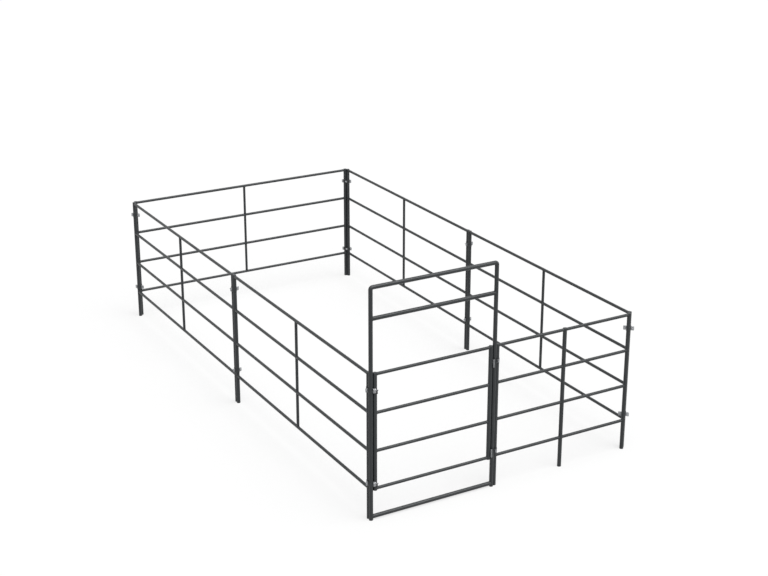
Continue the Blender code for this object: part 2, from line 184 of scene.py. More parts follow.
class ShaderGraph:
    """A node material that is wired up one node at a time."""

    def __init__(self, name: str) -> None:
        """Start from a Principled shader.

        Args:
            name: the material's name.
        """
        self.material = bpy.data.materials.new(name)
        self.material.use_nodes = True
        self.tree = self.material.node_tree
        self.shader = self.tree.nodes["Principled BSDF"]

    def fix(self, **numbers: float) -> None:
        """Set shader sockets that are the same all over; underscores stand for spaces."""
        for name, number in numbers.items():
            self.shader.inputs[name.replace("_", " ")].default_value = number

    def feed(self, name: str, value: Socket) -> None:
        """Feed a pattern into one of the shader's sockets."""
        self.tree.links.new(value, self.shader.inputs[name])

    def place(self) -> Socket:
        """Return the piece's own coordinates, in metres."""
        return add_node(self.tree, "ShaderNodeTexCoord", {}).outputs["Object"]

    def raw(self, noise: Noise) -> Socket:
        """Add a noise pattern as it comes.

        Args:
            noise: the pattern.

        Returns:
            Its factor.
        """
        place = self.place()
        if noise.stretch:
            mapping = add_node(self.tree, "ShaderNodeMapping", {"Vector": place, "Scale": noise.stretch})
            place = mapping.outputs["Vector"]
        inputs = {"Vector": place, "Scale": noise.scale, "Detail": noise.detail}
        return add_node(self.tree, "ShaderNodeTexNoise", inputs).outputs["Fac"]

    def vary(self, noise: Noise, target: Pair = (0, 1)) -> Socket:
        """Add a noise pattern whose values that count fill the target range."""
        return self.spread(self.raw(noise), noise.used, target)

    def cells(self, scale: float) -> Socket:
        """Add a pattern of flat crystal cells.

        Args:
            scale: how many cells there are to a metre.

        Returns:
            Its grey.
        """
        cells = add_node(self.tree, "ShaderNodeTexVoronoi", {"Vector": self.place(), "Scale": scale})
        return add_node(self.tree, "ShaderNodeRGBToBW", {"Color": cells.outputs["Color"]}).outputs["Val"]

    def spread(self, value: Socket, source: Pair, target: Pair = (0, 1)) -> Socket:
        """Map a range of values to another one, without leaving it.

        Args:
            value: the values.
            source: the range that counts.
            target: the range that it fills.

        Returns:
            The mapped values.
        """
        inputs = dict(zip(("Value", "From Min", "From Max", "To Min", "To Max"), (value, *source, *target)))
        return add_node(self.tree, "ShaderNodeMapRange", inputs).outputs["Result"]

    def product(self, one: Socket, two: Socket) -> Socket:
        """Multiply two patterns."""
        return add_node(self.tree, "ShaderNodeMath", {0: one, 1: two}, operation="MULTIPLY").outputs["Value"]

    def blend(self, factor: Socket, under: Colour | Socket, over: Colour) -> Socket:
        """Lay a plain colour over another one, or over a pattern.

        Args:
            factor: how much of the upper colour shows.
            under: the lower colour or pattern.
            over: the upper colour.

        Returns:
            The blended colour.
        """
        lower = (*under, 1) if isinstance(under, tuple) else under
        inputs = {"Factor": factor, "A": lower, "B": (*over, 1)}
        return add_node(self.tree, "ShaderNodeMix", inputs, data_type="RGBA").outputs["Result"]

    def facing_up(self) -> Socket:
        """Return how much the surface faces up, 1 where it lies flat and 0 where it stands."""
        normal = add_node(self.tree, "ShaderNodeNewGeometry", {}).outputs["Normal"]
        return add_node(self.tree, "ShaderNodeSeparateXYZ", {"Vector": normal}).outputs["Z"]

    def raise_by(self, relief: Relief) -> None:
        """Raise the surface by a pattern, on top of any bump that it has.

        Args:
            relief: the pattern with its strength and depth.
        """
        inputs = {"Strength": relief.strength, "Distance": relief.depth, "Height": self.raw(relief.noise)}
        before = self.shader.inputs["Normal"].links
        if before:
            inputs["Normal"] = before[0].from_socket
        self.feed("Normal", add_node(self.tree, "ShaderNodeBump", inputs).outputs["Normal"])


@dataclass(frozen=True)
class Finish:
    """A finish, whose wear varies its roughness; it makes its node material on its first use."""

    name: str
    shade: Colour
    light: Colour
    wear: Noise
    roughness: Pair
    reliefs: tuple[Relief, ...]
    metal: float = 0.0
    gloss: float = 0.5
    lacquer: float = 0.0
    lacquer_roughness: float = 0.03

    def colour(self, graph: ShaderGraph) -> Socket:
        """Wire up the colour."""
        raise NotImplementedError

    def material(self) -> bpy.types.Material:
        """Make the node material, or find it.

        Returns:
            The one material of this finish.
        """
        if self.name not in bpy.data.materials:
            graph = ShaderGraph(self.name)
            graph.fix(Metallic=self.metal, Specular_IOR_Level=self.gloss)
            graph.fix(Coat_Weight=self.lacquer, Coat_Roughness=self.lacquer_roughness)
            graph.feed("Base Color", self.colour(graph))
            graph.feed("Roughness", graph.vary(self.wear, self.roughness))
            for relief in self.reliefs:
                graph.raise_by(relief)
        return bpy.data.materials[self.name]


@dataclass(frozen=True)
class PowderCoat(Finish):
    """Semi-gloss charcoal powder coat, with orange peel, faint dust and scuffed patches."""

    name: str = "charcoal_powder_coat"
    shade: Colour = (0.0155, 0.018, 0.0195)
    light: Colour = (0.0205, 0.0235, 0.0255)
    wear: Noise = Noise(scale=24.0, detail=5.0)
    roughness: Pair = (0.33, 0.46)
    reliefs: tuple[Relief, ...] = (
        Relief(Noise(scale=420.0, detail=2.0), strength=0.35, depth=0.00012),
        Relief(Noise(scale=1500.0, detail=1.0), strength=0.25, depth=0.00003),
    )
    gloss: float = 0.34
    lacquer: float = 0.05
    lacquer_roughness: float = 0.25
    clouds: Noise = Noise(scale=3.1)
    dust: Colour = (0.08, 0.08, 0.077)
    dust_most: float = 0.16
    dusty_slopes: Pair = (0.35, 1.0)
    dusty_patches: Noise = Noise(scale=14.0, detail=6.0, used=(0.42, 0.7))

    def colour(self, graph: ShaderGraph) -> Socket:
        """Wire up the cloudy tone, and the dust on what faces up.

        Args:
            graph: the material.

        Returns:
            The colour.
        """
        tone = graph.blend(graph.vary(self.clouds), self.shade, self.light)
        settled = graph.spread(graph.facing_up(), self.dusty_slopes, (0, self.dust_most))
        dusty = graph.product(settled, graph.vary(self.dusty_patches))
        return graph.blend(dusty, tone, self.dust)


@dataclass(frozen=True)
class WeldMetal(Finish):
    """A weld bead under the same coat, a little duller and rougher."""

    name: str = "coated_weld"
    shade: Colour = (0.0142, 0.0163, 0.0177)
    light: Colour = (0.023, 0.026, 0.028)
    wear: Noise = Noise(scale=90.0)
    roughness: Pair = (0.42, 0.6)
    reliefs: tuple[Relief, ...] = (Relief(Noise(scale=900.0, detail=3.0), strength=0.4, depth=0.0002),)
    gloss: float = 0.36
    lacquer: float = 0.05
    lacquer_roughness: float = 0.3
    tones: Noise = Noise(scale=160.0)

    def colour(self, graph: ShaderGraph) -> Socket:
        """Wire up the uneven tone."""
        return graph.blend(graph.raw(self.tones), self.shade, self.light)


@dataclass(frozen=True)
class ZincPlate(Finish):
    """Zinc plated steel: satin grey with a faint crystal pattern and fine rubbing marks."""

    name: str = "zinc_plated_steel"
    shade: Colour = (0.31, 0.318, 0.33)
    light: Colour = (0.47, 0.478, 0.49)
    wear: Noise = Noise(scale=260.0, used=(0.3, 0.7))
    roughness: Pair = (0.3, 0.48)
    reliefs: tuple[Relief, ...] = (
        Relief(Noise(scale=1400.0, detail=2.0, stretch=(1, 1, 0.15)), strength=0.2, depth=0.00005),
    )
    metal: float = 0.82
    crystal_scale: float = 210.0
    crystal_greys: Pair = (0.2, 0.8)
    clouds: Noise = Noise(scale=70.0, detail=5.0)
    stain: Colour = (0.25, 0.245, 0.23)
    stain_most: float = 0.35
    spots: Noise = Noise(scale=130.0, detail=6.0, used=(0.56, 0.72))

    def colour(self, graph: ShaderGraph) -> Socket:
        """Wire up the crystals and the stains.

        Args:
            graph: the material.

        Returns:
            The colour.
        """
        crystals = graph.spread(graph.cells(self.crystal_scale), self.crystal_greys)
        tone = graph.blend(graph.product(crystals, graph.vary(self.clouds)), self.shade, self.light)
        return graph.blend(graph.vary(self.spots, (0, self.stain_most)), tone, self.stain)


@dataclass(frozen=True)
class BlackSteel(Finish):
    """Oiled black steel of the pins and slide bolts, rubbed brighter in patches."""

    name: str = "blackened_steel"
    shade: Colour = (0.045, 0.046, 0.05)
    light: Colour = (0.16, 0.16, 0.165)
    wear: Noise = Noise(scale=200.0, used=(0.3, 0.7))
    roughness: Pair = (0.28, 0.46)
    reliefs: tuple[Relief, ...] = (Relief(Noise(scale=1100.0, detail=2.0), strength=0.2, depth=0.00004),)
    metal: float = 0.9
    rubbed: Noise = Noise(scale=120.0, detail=6.0, used=(0.5, 0.72), stretch=(0.25, 1, 1))

    def colour(self, graph: ShaderGraph) -> Socket:
        """Wire up the rubbed patches."""
        return graph.blend(graph.vary(self.rubbed), self.shade, self.light)


COAT = PowderCoat()
WELD = WeldMetal()
ZINC = ZincPlate()
# Painted shade: the same zinc plate with darker colours, so that the hinge barrels look shaded.
SHADED_ZINC = ZincPlate("shaded_zinc_steel", shade=(0.165, 0.171, 0.177), light=(0.25, 0.256, 0.262),
                      stain=(0.13, 0.13, 0.124))
BLACK = BlackSteel()


@dataclass(frozen=True)
class TubeStock:
    """The tube that everything is welded from."""

    post_radius: float = 0.02065
    rail_radius: float = 0.0159
    stay_radius: float = 0.0151
    wall: float = 0.00165
    lip: float = 0.0005
    post_sides: int = 40
    rail_sides: int = 32
    packed_sides: int = 16

    def packed_half(self) -> float:
        """Return half the width of a packed post, whose flats face the main directions."""
        return self.post_radius * math.cos(math.pi / self.packed_sides)


STOCK = TubeStock()


def shift(x: float, y: float, z: float) -> Matrix:
    """Return a move along the three axes."""
    return Matrix.Translation((x, y, z))


def turn(angle: float, axis: str) -> Matrix:
    """Return a turn about one axis, in radians."""
    return Matrix.Rotation(angle, 4, axis)


def even_turns(count: int) -> list[float]:
    """List evenly spaced angles that go once round."""
    return [math.tau * i / count for i in range(count)]


def circle(centre: Vector, across: Vector, up: Vector, radius: float, sides: int) -> Points:
    """List the points of a circle.

    Args:
        centre: its middle.
        across: the unit direction of its first point.
        up: the unit direction a quarter turn on.
        radius: its radius.
        sides: how many points it has.

    Returns:
        The points in order.
    """
    return [centre + radius * (across * math.cos(a) + up * math.sin(a)) for a in even_turns(sides)]


def level_circle(radius: float, z: float, sides: int) -> Points:
    """List the points of a level circle about the Z axis."""
    return circle(Vector((0, 0, z)), Vector((1, 0, 0)), Vector((0, 1, 0)), radius, sides)


def arc(centre: Vector, radius: float, first: float, last: float, steps: int) -> Points:
    """List the points of an arc in the XY plane.

    Args:
        centre: its middle.
        radius: its radius.
        first: the angle of its first point.
        last: the angle of its last point.
        steps: how many pieces it has.

    Returns:
        The points in order, with both ends.
    """
    angles = [first + (last - first) * i / steps for i in range(steps + 1)]
    return [centre + radius * Vector((math.cos(a), math.sin(a), 0)) for a in angles]


def chamfered(half: float, low: float, high: float, edge: float) -> list[Pair]:
    """List the corners of an upright bar's section.

    Args:
        half: half of its width.
        low: the height of its lower side.
        high: the height of its upper side.
        edge: the chamfer of its four corners.

    Returns:
        The place across and the height of each corner.
    """
    return [(-half, low + edge), (edge - half, low), (half - edge, low), (half, low + edge),
            (half, high - edge), (half - edge, high), (edge - half, high), (-half, high - edge)]


def rounded_box(wide: float, tall: float, corner: float, steps: int) -> Points:
    """List the outline of a rectangle with round corners, about the origin of the XY plane.

    Args:
        wide: half of its width.
        tall: half of its height.
        corner: the radius of its corners.
        steps: how many pieces each corner has.

    Returns:
        The points in order.
    """
    outline = []
    for i, (x, y) in enumerate(((1, 1), (-1, 1), (-1, -1), (1, -1))):
        middle = Vector((x * (wide - corner), y * (tall - corner), 0))
        outline += arc(middle, corner, QUARTER * i, QUARTER * (i + 1), steps)
    return outline


def rounded_path(corners: list[Triple], steps: int) -> Points:
    """Round the corners of a flat path.

    Args:
        corners: x, y and bend radius of each corner; the two ends have radius 0.
        steps: how many pieces each bend has.

    Returns:
        The path's points.
    """
    flat = [Vector((x, y, 0)) for x, y, _ in corners]
    path = flat[:1]
    for before, here, after, (_, _, radius) in zip(flat, flat[1:], flat[2:], corners[1:]):
        back = (before - here).normalized()
        ahead = (after - here).normalized()
        half = back.angle(ahead) / 2
        centre = here + (back + ahead).normalized() * radius / math.sin(half)
        start = here + back * radius / math.tan(half) - centre
        sweep = math.copysign(math.pi - 2 * half, back.cross(start).z)
        path += [centre + Matrix.Rotation(sweep * i / steps, 3, "Z") @ start for i in range(steps + 1)]
    return path + flat[-1:]


def mirrored(path: Points) -> Points:
    """Return a flat path turned over the X axis and run backwards."""
    return [Vector((p.x, -p.y, 0)) for p in reversed(path)]


class Shape:
    """A mesh that grows one closed body at a time."""

    # Edges past this angle stay sharp.
    SHARP_DEGREES = 35.0
    # A weld bead swells and shrinks by this share over so many points of its path.
    BEAD_SIDES = 6
    RIPPLE = 0.16
    RIPPLE_POINTS = 3
    # The round face of a hex head is this share of its flats, and its corners slope down.
    HEX_POINTS = 48
    HEX_FACE = 0.96
    HEX_CHAMFER_DEGREES = 30.0
    # Depth and taper of a thread are shares of its pitch and of its depth.
    THREAD_PITCH = 0.0015
    THREAD_DEPTH = 0.3
    THREAD_TIP = 1.5
    THREAD_ROWS = 6
    THREAD_SIDES = 24

    def __init__(self) -> None:
        """Start with nothing."""
        self.bm = bmesh.new()
        self.at = Matrix.Identity(4)
        self.paint = 0

    def _face(self, verts: list[bmesh.types.BMVert]) -> None:
        """Add a face in the current paint."""
        self.bm.faces.new(verts).material_index = self.paint

    def skin(self, rings: list[Points], closed: bool = False, paints: list[int] | None = None) -> None:
        """Stretch a skin over rings of equal length.

        Args:
            rings: the rings in order; a ring of one point is a tip.
            closed: whether the last ring joins the first one, instead of two end faces.
            paints: the paint of each stretch between two rings, or None for one paint.
        """
        made = [[self.bm.verts.new(self.at @ p) for p in points] for points in rings]
        for i, (one, two) in enumerate(zip(made, made[1:] + (made[:1] if closed else []))):
            self.paint = paints[i] if paints else self.paint
            count = max(len(one), len(two))
            if count == 1:
                continue
            for k in range(count):
                n = (k + 1) % count
                near = [one[k], one[n]] if len(one) > 1 else one
                far = [two[n], two[k]] if len(two) > 1 else two
                self._face(near + far)
        if not closed:
            for end, place in ((made[-1], -1), (made[0], 0)):
                self.paint = paints[place] if paints else self.paint
                if len(end) > 1:
                    self._face(end)

    def lathe(self, profile: list[Pair], sides: int, closed: bool = False) -> None:
        """Turn a profile about the Z axis.

        Args:
            profile: radius and height of each point; radius 0 is a tip.
            sides: how many sides the round has.
            closed: whether the profile is a loop.
        """
        rings = [level_circle(r, z, sides) if r > 0 else [Vector((0, 0, z))] for r, z in profile]
        self.skin(rings, closed)

    def bead(self, path: Points, outs: Points, radius: float, looped: bool) -> None:
        """Lay a rippled weld bead.

        Args:
            path: the points that its middle follows.
            outs: the unit direction out at each point.
            radius: its mean radius.
            looped: whether it ends where it starts.
        """
        rings = []
        last = len(path) - 1
        for i, (here, out) in enumerate(zip(path, outs)):
            ahead = path[(i + 1) % len(path)] if looped or i < last else here
            behind = path[i - 1] if looped or i > 0 else here
            side = (ahead - behind).normalized().cross(out).normalized()
            swell = 1 + self.RIPPLE * (i % self.RIPPLE_POINTS / (self.RIPPLE_POINTS - 1) - 0.5) * 2
            rings.append(circle(here, side, out, radius * swell, self.BEAD_SIDES))
        self.skin(rings, looped)

    def upright_bead(self, foot: Vector, top: float, out: Vector, radius: float, steps: int) -> None:
        """Lay a weld bead straight up.

        Args:
            foot: where it starts.
            top: the height that it ends at.
            out: the unit direction out.
            radius: its mean radius.
            steps: how many pieces it has.
        """
        rises = [(top - foot.z) * i / steps for i in range(steps + 1)]
        path = [foot + Vector((0, 0, rise)) for rise in rises]
        self.bead(path, [out] * len(path), radius, False)

    def strip(self, path: Points, heights: list[float], thickness: float, edge: float,
              paints: list[int]) -> None:
        """Bend a flat bar along a path in the XY plane.

        Args:
            path: the points that the middle of the bar follows.
            heights: half the bar's height at each point.
            thickness: the bar's thickness.
            edge: the chamfer on its long edges.
            paints: the paint of each stretch between two points.
        """
        rings = []
        for i, (here, tall) in enumerate(zip(path, heights)):
            run = (path[min(i + 1, len(path) - 1)] - path[max(i - 1, 0)]).normalized()
            out = Vector((run.y, -run.x, 0))
            section = chamfered(thickness / 2, -tall, tall, edge)
            rings.append([here + out * a + Vector((0, 0, b)) for a, b in section])
        self.skin(rings, paints=paints)

    def hexagon(self, flats: float, thick: float, bore: float = 0.0) -> None:
        """Make a hex head or nut that stands on z = 0 with chamfered corners.

        Args:
            flats: the width across its flats.
            thick: its thickness.
            bore: the radius of its hole, or 0 for a head.
        """
        sides = self.HEX_POINTS
        inner = flats / 2 * self.HEX_FACE
        slope = math.tan(math.radians(self.HEX_CHAMFER_DEGREES))
        turns = even_turns(sides)
        reach = [flats / 2 / math.cos((a + math.pi / 6) % (math.pi / 3) - math.pi / 6) for a in turns]

        def rim(z: float, rise: float) -> Points:
            """Make the six-sided ring, whose corners rise from z with their distance."""
            return [Vector((r * math.cos(a), r * math.sin(a), z + rise * (r - inner)))
                    for a, r in zip(turns, reach)]

        face = level_circle(inner, thick, sides)
        if bore:
            self.skin([level_circle(bore, 0, sides), level_circle(inner, 0, sides), rim(0, slope),
                       rim(thick, -slope), face, level_circle(bore, thick, sides)], closed=True)
        else:
            self.skin([[Vector((0, 0, 0))], rim(0, 0), rim(thick, -slope), face, [Vector((0, 0, thick))]])

    def thread(self, radius: float, length: float) -> None:
        """Run a screw thread up the Z axis from z = 0, with a tapered tip.

        Args:
            radius: its outer radius.
            length: its length.
        """
        pitch, sides = self.THREAD_PITCH, self.THREAD_SIDES
        depth = pitch * self.THREAD_DEPTH
        rows = round(length / pitch * self.THREAD_ROWS)
        rings = [[Vector((0, 0, 0))]]
        for z in (length * i / rows for i in range(rows + 1)):
            taper = max(0.0, 1 - (length - z) / pitch) * depth * self.THREAD_TIP
            ring = []
            for k in range(sides):
                angle = math.tau * k / sides
                wave = abs((z / pitch - k / sides) % 1 - 0.5) * 2
                r = radius - depth * wave - taper
                ring.append(Vector((r * math.cos(angle), r * math.sin(angle), z)))
            rings.append(ring)
        rings.append([Vector((0, 0, length))])
        self.skin(rings)

    def mesh(self, name: str, finishes: tuple[Finish, ...]) -> Mesh:
        """Close the shape and hand it over as a mesh.

        Args:
            name: the mesh's name.
            finishes: the finish of each paint number.

        Returns:
            The mesh, with its materials.
        """
        bmesh.ops.recalc_face_normals(self.bm, faces=self.bm.faces)
        made = bpy.data.meshes.new(name)
        self.bm.to_mesh(made)
        self.bm.free()
        for finish in finishes:
            made.materials.append(finish.material())
        made.shade_smooth()
        made.set_sharp_from_angle(angle=math.radians(self.SHARP_DEGREES))
        return made


def add_object(name: str, data: bpy.types.ID) -> bpy.types.Object:
    """Link a new object into the scene.

    Args:
        name: the object's name.
        data: its mesh, light or camera.

    Returns:
        The object.
    """
    made = bpy.data.objects.new(name, data)
    bpy.context.scene.collection.objects.link(made)
    return made


def fit(mesh: Mesh, name: str, node: str, slot: Slot, at: Matrix | None = None) -> None:
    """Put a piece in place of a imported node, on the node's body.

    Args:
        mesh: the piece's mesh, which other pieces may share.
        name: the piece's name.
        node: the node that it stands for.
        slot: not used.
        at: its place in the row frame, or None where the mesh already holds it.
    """
    piece = add_object(name, mesh)
    piece.matrix_world = at or Matrix.Identity(4)
    body = frame["nodes"][node]["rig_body"]
    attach(piece, body)
    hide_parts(node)
    log.info("built %s on body %s", name, body)


def fit_shape(shape: Shape, part: str, node: str, finish: Finish, slot: Slot) -> None:
    """Close a shape that is made in its place, and fit it as one part of a node."""
    fit(shape.mesh(f"{node}_{part}", (finish,)), f"{node}_{part}", node, slot)


def post_centres(node: str) -> tuple[Vector, Vector]:
    """Find the feet of the two end posts of a welded frame.

    Args:
        node: a panel, the tall frame or the gate.

    Returns:
        The centre of each post at the frame's lowest height, nearest the origin's low side first.
    """
    low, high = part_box(node)
    half = STOCK.packed_half()
    middle = (low + high) / 2
    if high.x - low.x > high.y - low.y:
        return Vector((low.x + half, middle.y, low.z)), Vector((high.x - half, middle.y, low.z))
    return Vector((middle.x, low.y + half, low.z)), Vector((middle.x, high.y - half, low.z))


def stand(first: Vector, second: Vector) -> Matrix:
    """Return the place of a frame whose own X runs from the first post to the second, on the ground."""
    return shift(first.x, first.y, 0) @ turn(math.atan2(second.y - first.y, second.x - first.x), "Z")


@dataclass
class Welder:
    """Makes the tubes of a welded frame and the beads at their joints, in the frame's own coordinates."""

    tubes: Shape = field(default_factory=Shape)
    welds: Shape = field(default_factory=Shape)
    bite: float = 0.0006
    bead_radius: float = 0.0024
    bead_steps: int = 72
    cap: float = 0.0022
    cap_curve: tuple[Pair, ...] = ((0.0, 1.0), (0.0003, 0.55), (0.0011, 0.2), (0.0026, 0.0))
    cap_crown: float = 0.0004
    cap_bead: float = 0.0006
    plug: float = 0.003

    def post(self, x: float, foot: float, top: float) -> None:
        """Stand a post that is open below and has a welded cap on top.

        Args:
            x: its place along the frame.
            foot: the height of its lower end.
            top: the height of its cap.
        """
        outer, lip = STOCK.post_radius, STOCK.lip
        inner = outer - STOCK.wall
        curve = [(outer - inset, top - self.cap * share) for inset, share in self.cap_curve]
        profile = [(inner, foot + lip), (inner + lip / 2, foot), (outer - lip, foot), (outer, foot + lip),
                   *curve, (0.0, top + self.cap_crown), (0.0, top - self.plug), (inner, top - self.plug)]
        self.tubes.at = self.welds.at = shift(x, 0, 0)
        self.tubes.lathe(profile, STOCK.post_sides, closed=True)
        _, rim = curve[1]
        path = level_circle(outer - self.cap_bead, rim, self.bead_steps)
        outs = [Vector((p.x, p.y, 0)).normalized() for p in path]
        self.welds.bead(path, outs, self.cap_bead, looped=True)

    def _saddle(self, place: Matrix, radius: float, host: float) -> tuple[Points, Points, Points]:
        """Work out where a tube meets a round host that crosses it.

        Args:
            place: its X runs from the host's axis along the tube, and its Z along the host.
            radius: the tube's radius.
            host: the host's radius.

        Returns:
            The end ring of the tube, and the path of the weld with its way out at each point.
        """
        def meet(count: int, bite: float) -> Points:
            """List the points round the tube's end.

            Args:
                count: how many there are.
                bite: how far the tube goes into the host.

            Returns:
                The points in the tube's own directions.
            """
            section = [(radius * math.sin(a), radius * math.cos(a)) for a in even_turns(count)]
            return [Vector((max(math.sqrt(max(host ** 2 - y ** 2, 0)) - bite, 0), y, z)) for y, z in section]

        facing = place.to_3x3()
        path = meet(self.bead_steps, 0)
        outs = [Vector((p.x, p.y, 0)) / host + Vector((0, p.y, p.z)) / radius for p in path]
        ring = [place @ p for p in meet(STOCK.rail_sides, self.bite)]
        return ring, [place @ p for p in path], [(facing @ out).normalized() for out in outs]

    def rail(self, start: Matrix, end: Matrix, radius: float, host: float) -> None:
        """Run a tube between two round hosts, coped to each and welded all round.

        Args:
            start: the place of the first host, with X along the tube and Z along the host.
            end: the place of the second host, with the same axes.
            radius: the tube's radius.
            host: the radius of both hosts.
        """
        first, *first_weld = self._saddle(start, radius, host)
        last, *last_weld = self._saddle(end @ turn(math.pi, "Z"), radius, host)
        self.tubes.at = self.welds.at = Matrix.Identity(4)
        self.tubes.skin([first, last[:1] + last[:0:-1]])
        for path, outs in (first_weld, last_weld):
            self.welds.bead(path, outs, self.bead_radius, looped=True)

    def meshes(self, node: str) -> MeshPair:
        """Hand over the tubes and the welds of a node as two meshes."""
        return self.tubes.mesh(f"{node}_tubes", (COAT,)), self.welds.mesh(f"{node}_welds", (WELD,))


def fit_frame(node: str, meshes: MeshPair) -> None:
    """Put a welded frame in its place.

    Args:
        node: the frame.
        meshes: the mesh of its tubes and that of its welds.
    """
    place = stand(*post_centres(node))
    for part, mesh in zip(("tubes", "welds"), meshes):
        fit(mesh, f"{node}_{part}", node, Slot.COAT, place)


@dataclass
class RailPanel:
    """One welded panel: two posts, four rails, and a stay or a leg halfway."""

    node: str
    middle: Middle
    rail_count: int = 4
    rail_pitch: float = 0.3937
    rail_setdown: float = 0.001

    def _levels(self, top: float) -> list[float]:
        """List the heights of the rails' axes under the top of the posts."""
        first = top - self.rail_setdown - STOCK.rail_radius
        return [first - i * self.rail_pitch for i in range(self.rail_count)]

    def meshes(self, span: float, foot: float, top: float) -> MeshPair:
        """Build the panel along its own X axis.

        Args:
            span: the distance between the end posts.
            foot: the height of the posts' lower ends.
            top: the height of their upper ends.

        Returns:
            The mesh of the tubes and that of the welds.
        """
        welder = Welder()
        posts = [0.0, span / 2, span] if self.middle is Middle.LEG else [0.0, span]
        for x in posts:
            welder.post(x, foot, top)
        levels = self._levels(top)
        for z in levels:
            for left, right in zip(posts, posts[1:]):
                welder.rail(shift(left, 0, z), shift(right, 0, z), STOCK.rail_radius, STOCK.post_radius)
        if self.middle is Middle.STAY:
            down = turn(QUARTER, "Y")
            for high, low in zip(levels, levels[1:]):
                welder.rail(shift(span / 2, 0, high) @ down, shift(span / 2, 0, low) @ down,
                            STOCK.stay_radius, STOCK.rail_radius)
        return welder.meshes(self.node)

    def dress(self, shared: dict[tuple, MeshPair]) -> None:
        """Build the panel's pieces, or share the meshes of a panel of the same size.

        Args:
            shared: the meshes so far, by size and middle.
        """
        first, second = post_centres(self.node)
        low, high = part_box(self.node)
        span = (second - first).length
        key = (self.middle, round(span, 4), round(low.z, 4))
        if key not in shared:
            shared[key] = self.meshes(span, low.z, high.z)
        fit_frame(self.node, shared[key])


@dataclass
class BowFrame:
    """The tall ride-through frame: one bent tube, a header rail and a threshold rail."""

    node: str = "bow_frame"
    bend: float = 0.0215
    bend_steps: int = 12
    header_drop: float = 0.3048
    threshold_rise: float = 0.034
    hollow_height: float = 0.2

    def _hoop(self, span: float, top: float) -> list[Points]:
        """List the rings of the bent tube, from inside one foot to inside the other.

        Args:
            span: the distance between the legs' axes.
            top: the height of the axis of the top run.

        Returns:
            The rings.
        """
        radius, lip = STOCK.post_radius, STOCK.lip
        inner = radius - STOCK.wall
        back = Vector((0, 1, 0))
        leg = [(inner, self.hollow_height), (inner, lip), (inner + lip, 0.0), (radius - lip, 0.0),
               (radius, lip)]

        def rings(x: float, out: float, profile: list[Pair]) -> list[Points]:
            """List the level rings of one leg, which start on its outer side."""
            return [circle(Vector((x, 0, z)), Vector((out, 0, 0)), back, r, STOCK.post_sides)
                    for r, z in profile]

        hoop = rings(0, -1, leg)
        for x, first in ((self.bend, 180), (span - self.bend, 90)):
            for i in range(self.bend_steps + 1):
                angle = math.radians(first - 90 * i / self.bend_steps)
                out = Vector((math.cos(angle), 0, math.sin(angle)))
                centre = Vector((x, 0, top - self.bend)) + out * self.bend
                hoop.append(circle(centre, out, back, radius, STOCK.post_sides))
        return hoop + rings(span, 1, leg[::-1])

    def dress(self) -> None:
        """Build the hoop, its two cross rails and their welds."""
        first, second = post_centres(self.node)
        span = (second - first).length
        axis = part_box(self.node)[1].z - STOCK.post_radius
        welder = Welder()
        welder.tubes.skin(self._hoop(span, axis))
        for z in (axis - self.header_drop, self.threshold_rise):
            welder.rail(shift(0, 0, z), shift(span, 0, z), STOCK.post_radius, STOCK.post_radius)
        fit_frame(self.node, welder.meshes(self.node))


@dataclass(frozen=True)
class EarSize:
    """One style of ear; a long one is measured from the middle of the clamp's second post.

    It holds the reach from the strap's inner face to the tip, the inset from the strap's
    outer face to the bolt, and how far the bolt passes its nut.
    """

    reach: float
    inset: float
    proud: float = 0.003


EARS = {
    Ear.WIDE: EarSize(0.0345, 0.016),
    Ear.SHORT: EarSize(0.0215, 0.0092),
    Ear.SLIM: EarSize(0.0215, 0.0092, proud=0.024),
    Ear.LONG: EarSize(0.0237, 0.0108),
}


